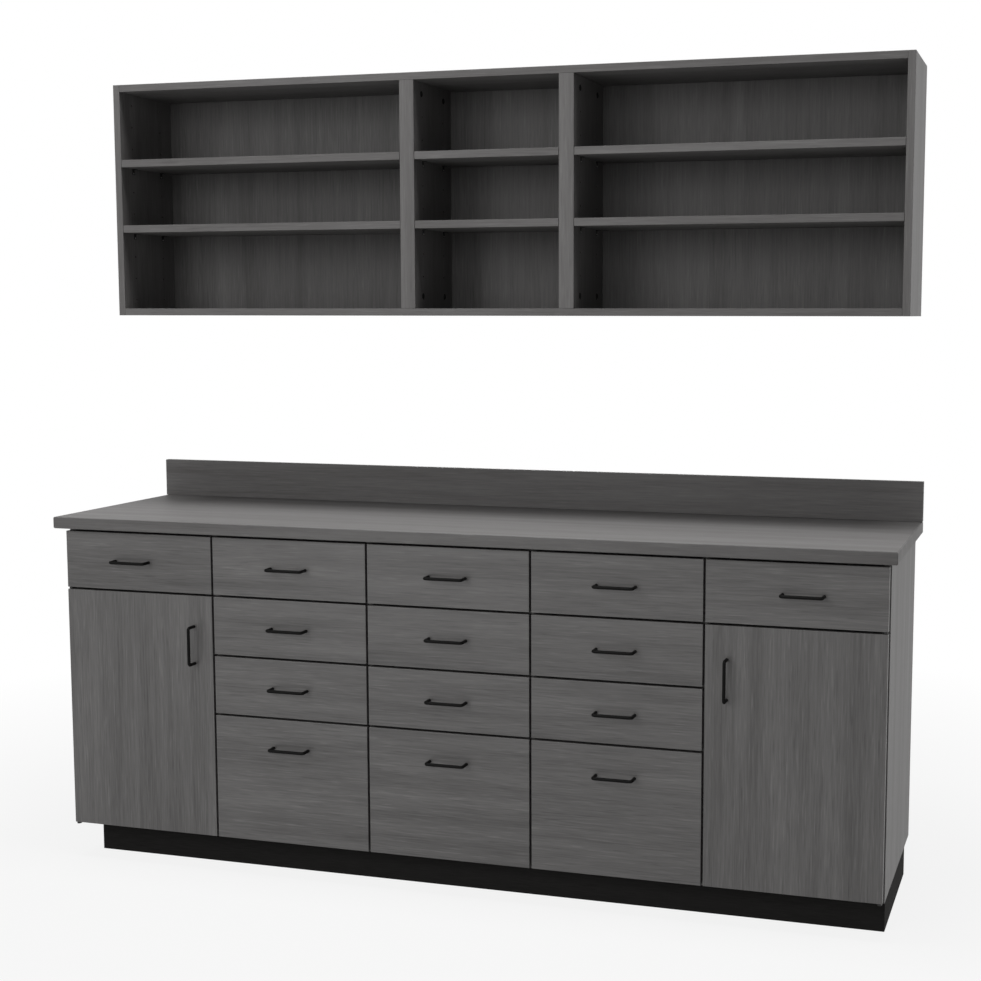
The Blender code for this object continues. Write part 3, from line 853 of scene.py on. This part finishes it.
def column_faces(column):
    """The x of the two panel faces that a column's drawers run between. Columns count from 1."""
    left = -HALF_WIDTH + (column - 1) * COLUMN_WIDTH + PANEL / 2
    right = -HALF_WIDTH + column * COLUMN_WIDTH - PANEL / 2
    if column == 1:
        left += PANEL / 2
    if column == COLUMN_COUNT:
        right -= PANEL / 2
    return left, right


def drawer_places():
    """The column and row of every drawer. The end columns have one drawer, above a door."""
    for column in range(1, COLUMN_COUNT + 1):
        rows = 1 if column in (1, COLUMN_COUNT) else DEEP_ROW
        for row in range(1, rows + 1):
            yield column, row


def c_section(base, side, reach, bottom, top, sheet, lip=0.0):
    """A channel's outline in x and z: its web at base, and its flanges towards side (+1 or -1)."""
    inner = [(sheet, bottom + sheet), (sheet, top - sheet)]
    lower = [(0.0, bottom), (reach, bottom)]
    upper = [(reach, top), (0.0, top)]
    if lip:
        lower += [(reach, bottom + lip), (reach - sheet, bottom + lip), (reach - sheet, bottom + sheet)]
        upper = [(reach - sheet, top - sheet), (reach - sheet, top - lip), (reach, top - lip)] + upper
    else:
        lower += [(reach, bottom + sheet)]
        upper = [(reach, top - sheet)] + upper
    return [(base + side * x, z) for x, z in lower + inner + upper]


def slide_bars(left, right, bottom):
    """The drawer's half of its two slides, and the points of their screws."""
    bar_bottom = bottom + SLIDE_RISE + (CHANNEL_HEIGHT - BAR_HEIGHT) / 2
    bar_top = bar_bottom + BAR_HEIGHT
    start = CARCASS_FRONT + SLIDE_SETBACK
    end = BOX_BACK - SLIDE_TAIL
    bars = []
    screws = []
    for base, side in ((left, -1), (right, 1)):
        outline = c_section(base, side, BAR_REACH, bar_bottom, bar_top, BAR_SHEET, BAR_LIP)
        bars.append(painted(extruded_mesh(outline, start, end), ZINC))
        for share in BAR_SCREW_SHARES:
            place = (base + side * BAR_SHEET, start + share * (end - start), (bar_bottom + bar_top) / 2)
            screws.append((place, (side, 0.0, 0.0)))
    return bars, screws


def add_drawer(column, row):
    """A drawer's front, box and pull, with its slide bars, screws and bumpers."""
    name = f"drawer_{column}_{row}"
    low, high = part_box(name)
    front_back = low.y + FRONT
    front = board_mesh(low, (high.x, front_back, high.z), X, FRONT_EASE)
    add_piece(f"{name}_front", painted(front, FRONT_LAMINATE), name, (name,))

    faces = column_faces(column)
    left = faces[0] + SLIDE_SPACE
    right = faces[1] - SLIDE_SPACE
    bottom = low.z + BOX_LIFT
    top = high.z - BOX_HEADROOM
    inner_left = left + BOX_WALL
    inner_right = right - BOX_WALL
    sub_front = front_back + BOX_WALL
    floor = bottom + BOX_BOTTOM
    boards = (
        ((left, front_back, bottom), (inner_left, BOX_BACK, top), Y),
        ((inner_right, front_back, bottom), (right, BOX_BACK, top), Y),
        ((inner_left, front_back, bottom), (inner_right, sub_front, top), X),
        ((inner_left, BOX_BACK - BOX_WALL, bottom), (inner_right, BOX_BACK, top), X),
        ((inner_left, sub_front, bottom), (inner_right, BOX_BACK - BOX_WALL, floor), X),
    )
    box = joined([painted(board_mesh(*board), BOX_MELAMINE) for board in boards])
    add_piece(f"{name}_box", box, name)

    pull_node = f"drawer_pull_{column}_{row}"
    add_piece(f"{pull_node}_wire", pull_mesh(pull_node, X), name, (pull_node,))

    seed = 10 * column + row
    hardware, screws = slide_bars(left, right, bottom)
    for x in (inner_left + BOX_SCREW_INSET, inner_right - BOX_SCREW_INSET):
        for share in BOX_SCREW_SHARES:
            screws.append(((x, sub_front, floor + share * (top - floor)), TO_WALL))
    hardware.append(fixings(screws, SCREW_HEAD, SCREW_STEEL, seed))
    hardware.append(pull_bolts(pull_node, X, sub_front, seed))
    hardware.append(bumpers((low.x + BUMPER_INSET, high.x - BUMPER_INSET), low, high, front_back, seed))
    add_piece(f"{name}_hardware", joined(hardware), name)


def pin_tool(x, y, start, end):
    tool = turned_mesh(((0.0, start), (PIN_BORE, start), (PIN_BORE, end), (0.0, end)), PIN_SIDES)
    tool.transform(Matrix.Translation((x, y, 0.0)))
    return tool


def add_door(name, side):
    """A door on the cabinet's left (-1) or right (+1) end, with the bores of its pivot pins."""
    low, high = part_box(name)
    pivot_x = side * (HALF_WIDTH - HINGE_LINE)
    pivot_y = FRONT_Y + PIVOT_SETBACK
    bores = [pin_tool(pivot_x, pivot_y, low.z - CUT_MARGIN, low.z + PIN_DEPTH),
             pin_tool(pivot_x, pivot_y, high.z - PIN_DEPTH, high.z + CUT_MARGIN)]
    panel = cut_panel(low, high, bores, FRONT_LAMINATE, FRONT_EASE)
    add_piece(f"{name}_panel", panel, name, (name,))

    pull_node = f"{name}_pull"
    add_piece(f"{pull_node}_wire", pull_mesh(pull_node, Z), name, (pull_node,))

    seed = DOOR_SEED + side
    free_edge = low.x if side > 0 else high.x
    hardware = [pull_bolts(pull_node, Z, high.y, seed),
                bumpers((free_edge + side * BUMPER_INSET,), low, high, high.y, seed)]
    add_piece(f"{name}_hardware", joined(hardware), name)


def add_base_end(name, door, side):
    """An end panel, with the seats of its door's hinge plates cut in its front edge."""
    low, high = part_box(name)
    if side < 0:
        high.x = low.x + PANEL
    else:
        low.x = high.x - PANEL
    pivot_x = side * (HALF_WIDTH - HINGE_LINE)
    seats = []
    for level in ("lower", "upper"):
        plate_low, plate_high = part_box(f"{door}_{level}_hinge")
        plate_z = plate_low.z if level == "lower" else plate_high.z - HINGE_PLATE
        margin = CUT_MARGIN_BELOW if level == "lower" else HAIRLINE
        seat_low = (pivot_x - HINGE_SEAT_HALF, low.y - CUT_MARGIN, plate_z - margin)
        seat_high = (pivot_x + HINGE_SEAT_HALF, low.y + HINGE_SEAT_DEPTH, plate_z + HINGE_PLATE + HAIRLINE)
        seats.append(bare_board(seat_low, seat_high, X, CUT_EASE, 1))
    panel = cut_panel(low, high, seats, CARCASS_LAMINATE)
    add_piece(f"{name}_board", panel, "carcass", (name,))


def add_slide_channels():
    """The cabinet's half of every drawer slide, with its screws."""
    channels = []
    screws = []
    start = CARCASS_FRONT + SLIDE_SETBACK
    for column, row in drawer_places():
        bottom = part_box(f"drawer_{column}_{row}")[0].z + BOX_LIFT + SLIDE_RISE
        top = bottom + CHANNEL_HEIGHT
        for base, side in zip(column_faces(column), (1, -1)):
            outline = c_section(base, side, CHANNEL_REACH, bottom, top, CHANNEL_SHEET)
            channels.append(painted(extruded_mesh(outline, start, BOX_BACK), ZINC))
            for share in CHANNEL_SCREW_SHARES:
                y = start + share * (BOX_BACK - start)
                screws.append(((base + side * CHANNEL_SHEET, y, (bottom + top) / 2), (side, 0.0, 0.0)))
    channels.append(fixings(screws, SCREW_HEAD, SCREW_STEEL, CHANNEL_SEED, SMALL_SCREW_SIZE))
    add_piece("slide_channels", joined(channels), "carcass")


def add_plain_board(node, name, material, along, ease=BOARD_EASE):
    low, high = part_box(node)
    board = painted(board_mesh(low, high, along, ease), material)
    add_piece(name, board, "carcass", (node,))


def add_worktop():
    """The slab with rounded ends, and the dark line of the sheet's core along them."""
    low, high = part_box("worktop")
    shape = block_shape(low, high)
    ends = [edge for edge in shape.edges if abs(edge.verts[0].co.y - edge.verts[1].co.y) > TOP_END_ROUND]
    ease_edges(shape, ends, TOP_END_ROUND, TOP_END_STEPS)
    rims = [edge for edge in shape.edges if abs(edge.verts[0].co.y - edge.verts[1].co.y) < TOP_EASE]
    ease_edges(shape, rims, TOP_EASE, TOP_EASE_STEPS)
    sort_faces(shape)
    slab = mesh_of(shape, "slab")
    write_grain(slab, low, high, X)
    top = add_piece("worktop_slab", painted(slab, TOP_LAMINATE), "carcass", ("worktop",))
    top.data.materials.append(LAMINATE_CORE)
    for face in top.data.polygons:
        at_end = abs(face.normal.x) > 0.2 and abs(face.normal.y) < 0.1
        if at_end and CORE_SLOPE[0] < face.normal.z < CORE_SLOPE[1]:
            face.material_index = 1
    add_plain_board("backsplash", "backsplash_board", TOP_LAMINATE, X, SPLASH_EASE)


def add_toe_kick():
    low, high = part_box("toe_kick")
    inner_low = low + Vector((KICK_BOARD, KICK_BOARD, 0.0))
    inner_high = high - Vector((KICK_BOARD, KICK_BOARD, 0.0))
    boards = (
        (low, (high.x, inner_low.y, high.z), X),
        ((low.x, inner_high.y, low.z), high, X),
        ((low.x, inner_low.y, low.z), (inner_low.x, inner_high.y, high.z), Y),
        ((inner_high.x, inner_low.y, low.z), (high.x, inner_high.y, high.z), Y),
    )
    kick = joined([painted(board_mesh(*board), KICK_BLACK) for board in boards])
    add_piece("toe_kick_boards", kick, "carcass", ("toe_kick",))


def add_dividers():
    for column in range(1, COLUMN_COUNT):
        node = f"base_divider_{column}"
        low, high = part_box(node)
        middle = (low.x + high.x) / 2
        low.x = middle - PANEL / 2
        high.x = middle + PANEL / 2
        board = painted(board_mesh(low, high, Z), CARCASS_LAMINATE)
        add_piece(f"{node}_board", board, "carcass", (node,))


def spread_along(low, high):
    """Places along an edge for the screws of a back sheet, from end to end."""
    start = low + BACK_SCREW_INSET
    length = high - low - 2 * BACK_SCREW_INSET
    count = max(2, round(length / BACK_SCREW_SPACING) + 1)
    return [start + index * length / (count - 1) for index in range(count)]


def add_back_screws(*nodes):
    """Screws round the edges of the back sheets, on the side towards the wall."""
    points = []
    for node in nodes:
        low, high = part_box(node)
        y = high.y - BACK_SCREW_SUNK
        for x in spread_along(low.x, high.x):
            for z in (low.z + BACK_SCREW_INSET, high.z - BACK_SCREW_INSET):
                points.append(((x, y, z), TO_WALL))
        for z in spread_along(low.z, high.z)[1:-1]:
            for x in (low.x + BACK_SCREW_INSET, high.x - BACK_SCREW_INSET):
                points.append(((x, y, z), TO_WALL))
    screws = fixings(points, SCREW_HEAD, SCREW_STEEL, BACK_SEED, SMALL_SCREW_SIZE)
    add_piece("back_screws", screws, "carcass")


# Wall unit

WALL_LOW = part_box("wall_left_end")[0]
WALL_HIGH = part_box("wall_right_end")[1]
PIN_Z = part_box("left_bay_lower_shelf")[0].z - HAIRLINE - PEG_DROP
PIN_Y = (WALL_LOW.y + PIN_SETBACK, WALL_HIGH.y - BACK_SHEET - PIN_SETBACK)


def add_bored_board(node, low, high, faces):
    """An upright board of the wall unit, with rows of pin holes in the given faces (x)."""
    mesh = bare_board(low, high, Z)
    hole_pitch = SHELF_PITCH / HOLES_PER_PITCH
    for face_x in faces:
        first = (face_x, PIN_Y[0], PIN_Z - HOLES_BELOW * hole_pitch)
        mesh = run_tree(PIN_HOLES, mesh, First=first, Row_step=(0.0, PIN_Y[1] - PIN_Y[0], 0.0),
                        Pitch=(0.0, 0.0, hole_pitch), Count=HOLES_IN_ROW, Radius=PIN_RADIUS,
                        Length=2 * HOLE_DEPTH, Core=SHADED_BORE_CORE, Finish=CARCASS_LAMINATE)
    write_grain(mesh, low, high, Z)
    add_piece(f"{node}_board", mesh, "carcass", (node,))


def add_shelf_brackets(faces):
    """The brackets of every shelf, each with a screw, on faces given as (x, direction)."""
    pegs = []
    screws = []
    for face_x, side in faces:
        facing = (side, 0.0, 0.0)
        for y in PIN_Y:
            for level in (0, 1):
                z = PIN_Z + level * SHELF_PITCH
                pegs.append(((face_x, y, z), facing))
                screws.append(((face_x + side * BRACKET_SHEET, y, z - BRACKET_SCREW_DROP), facing))
    brackets = fixings(pegs, SHELF_BRACKET, BRACKET_STEEL_AND_SHADE, BRACKET_SEED, turn=0.0)
    heads = fixings(screws, SCREW_HEAD, SCREW_STEEL, BRACKET_SEED, BRACKET_SCREW_SIZE)
    add_piece("shelf_brackets", joined([brackets, heads]), "carcass")


def add_wall_unit():
    faces = []
    caps = []
    for name, side in (("wall_left_end", -1), ("wall_right_end", 1)):
        low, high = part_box(name)
        if side < 0:
            high.x = low.x + WALL_BOARD
        else:
            low.x = high.x - WALL_BOARD
        face_x = high.x if side < 0 else low.x
        add_bored_board(name, low, high, (face_x,))
        faces.append((face_x, -side))
    for name, left_bay, right_bay in (("wall_left_partition", "left", "middle"),
                                      ("wall_right_partition", "middle", "right")):
        low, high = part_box(name)
        low.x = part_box(f"{left_bay}_bay_lower_shelf")[1].x + SHELF_GAP
        high.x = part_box(f"{right_bay}_bay_lower_shelf")[0].x - SHELF_GAP
        add_bored_board(name, low, high, (low.x, high.x))
        for face_x, side in ((low.x, -1), (high.x, 1)):
            faces.append((face_x, side))
            for y in (low.y + CAP_SETBACK, high.y - CAP_SETBACK):
                for z in (low.z + CAP_RISE, high.z - CAP_DROP):
                    caps.append(((face_x, y, z), (side, 0.0, 0.0)))
    add_shelf_brackets(faces)
    add_piece("connector_caps", fixings(caps, CONNECTOR_CAP, CAP_BLACK, CAP_SEED), "carcass")

    for node in ("wall_bottom", "wall_top"):
        add_plain_board(node, f"{node}_board", CARCASS_LAMINATE, X)
    # The back sheet is painted darker than the boards round it, as shade in the bays.
    add_plain_board("wall_back", "wall_back_sheet", SHADED_BACK_LAMINATE, Z)
    for bay in ("left", "middle", "right"):
        for level in ("lower", "upper"):
            node = f"{bay}_bay_{level}_shelf"
            add_plain_board(node, f"{node}_board", CARCASS_LAMINATE, X)


def paint_hinges():
    for door in ("left_door", "right_door"):
        for level in ("lower", "upper"):
            painted(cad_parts[f"{door}_{level}_hinge"].data, HINGE_BLACK)


add_toe_kick()
add_base_end("base_left_end", "left_door", -1)
add_base_end("base_right_end", "right_door", 1)
add_dividers()
add_plain_board("base_deck", "base_deck_board", CARCASS_LAMINATE, X)
add_plain_board("base_back", "base_back_sheet", CARCASS_LAMINATE, Z)
add_worktop()
add_slide_channels()
for drawer_column, drawer_row in drawer_places():
    add_drawer(drawer_column, drawer_row)
add_door("left_door", -1)
add_door("right_door", 1)
add_wall_unit()
add_back_screws("base_back", "wall_back")
paint_hinges()
for helper in (SCREW_HEAD, SHELF_BRACKET, CONNECTOR_CAP, BUMPER):
    clear_away(helper)


# Floor, light and camera

def rays_to_background(tree):
    """1 for the rays that look at the background: the camera's, and those in gloss and glass."""
    rays = tree.nodes.new("ShaderNodeLightPath")
    seen = rays.outputs["Is Camera Ray"]
    for kind in ("Is Glossy Ray", "Is Transmission Ray"):
        either = tree.nodes.new("ShaderNodeMath")
        either.operation = "MAXIMUM"
        tree.links.new(seen, either.inputs[0])
        tree.links.new(rays.outputs[kind], either.inputs[1])
        seen = either.outputs[0]
    return seen


def mixed_shaders(tree, share, first, second, surface):
    mix = tree.nodes.new("ShaderNodeMixShader")
    tree.links.new(share, mix.inputs[0])
    tree.links.new(first.outputs[0], mix.inputs[1])
    tree.links.new(second.outputs[0], mix.inputs[2])
    tree.links.new(mix.outputs[0], surface)


def white_floor():
    """A pale floor that keeps the shadow near the cabinet and clears to white away from it."""
    material, tree, shader = new_material("white_floor", (FLOOR_GREY,) * 3, FLOOR_ROUGHNESS)
    away = tree.nodes.new("ShaderNodeVectorMath")
    away.operation = "LENGTH"
    tree.links.new(object_coords(tree), away.inputs[0])
    clearing = value_range(tree, away.outputs["Value"], CLEARING_FROM, 1.0)
    clearing.inputs["From Min"].default_value = CLEARING_START
    clearing.inputs["From Max"].default_value = CLEARING_END
    share = tree.nodes.new("ShaderNodeMath")
    share.operation = "MULTIPLY"
    tree.links.new(rays_to_background(tree), share.inputs[0])
    tree.links.new(clearing.outputs[0], share.inputs[1])
    white = tree.nodes.new("ShaderNodeEmission")
    white.inputs["Color"].default_value = (1.0, 1.0, 1.0, 1.0)
    mixed_shaders(tree, share.outputs[0], shader, white, tree.nodes["Material Output"].inputs["Surface"])
    mesh = bpy.data.meshes.new("floor")
    corners = [(-1, -1), (1, -1), (1, 1), (-1, 1)]
    mesh.from_pydata([(x * FLOOR_REACH, y * FLOOR_REACH, 0.0) for x, y in corners], [], [(0, 1, 2, 3)])
    mesh.materials.append(material)
    floor = bpy.data.objects.new("floor", mesh)
    floor.location.z = -FLOOR_DROP
    scene.collection.objects.link(floor)


def studio_world():
    """Soft light from all round, seen as white by the camera and in reflections."""
    world = bpy.data.worlds.new("studio")
    scene.world = world
    world.use_nodes = True
    tree = world.node_tree
    tree.nodes.clear()
    backgrounds = []
    for strength in (WORLD_LIGHT, 1.0):
        background = tree.nodes.new("ShaderNodeBackground")
        background.inputs["Color"].default_value = (1.0, 1.0, 1.0, 1.0)
        background.inputs["Strength"].default_value = strength
        backgrounds.append(background)
    output = tree.nodes.new("ShaderNodeOutputWorld")
    mixed_shaders(tree, rays_to_background(tree), *backgrounds, output.inputs["Surface"])


def soft_box(name, location, target, width, depth, power):
    light = bpy.data.lights.new(name, "AREA")
    light.shape = "RECTANGLE"
    light.size = width
    light.size_y = depth
    light.energy = power
    lamp = bpy.data.objects.new(name, light)
    lamp.location = location
    lamp.rotation_euler = (Vector(target) - Vector(location)).to_track_quat("-Z", "Y").to_euler()
    scene.collection.objects.link(lamp)


def photo_camera():
    data = bpy.data.cameras.new("camera")
    data.sensor_width = CAMERA_SENSOR
    data.lens = CAMERA_LENS
    data.shift_x, data.shift_y = CAMERA_SHIFT
    data.clip_end = CAMERA_REACH
    camera = bpy.data.objects.new("camera", data)
    turn = Matrix.Rotation(CAMERA_TURN, 4, "Z")
    tilt = Matrix.Rotation(math.pi / 2 - CAMERA_TILT, 4, "X")
    roll = Matrix.Rotation(CAMERA_ROLL, 4, "Z")
    camera.matrix_world = Matrix.Translation(CAMERA_PLACE) @ turn @ tilt @ roll
    scene.collection.objects.link(camera)
    scene.camera = camera


white_floor()
studio_world()
for box in SOFT_BOXES:
    soft_box(*box)
photo_camera()
scene.view_settings.view_transform = "Standard"
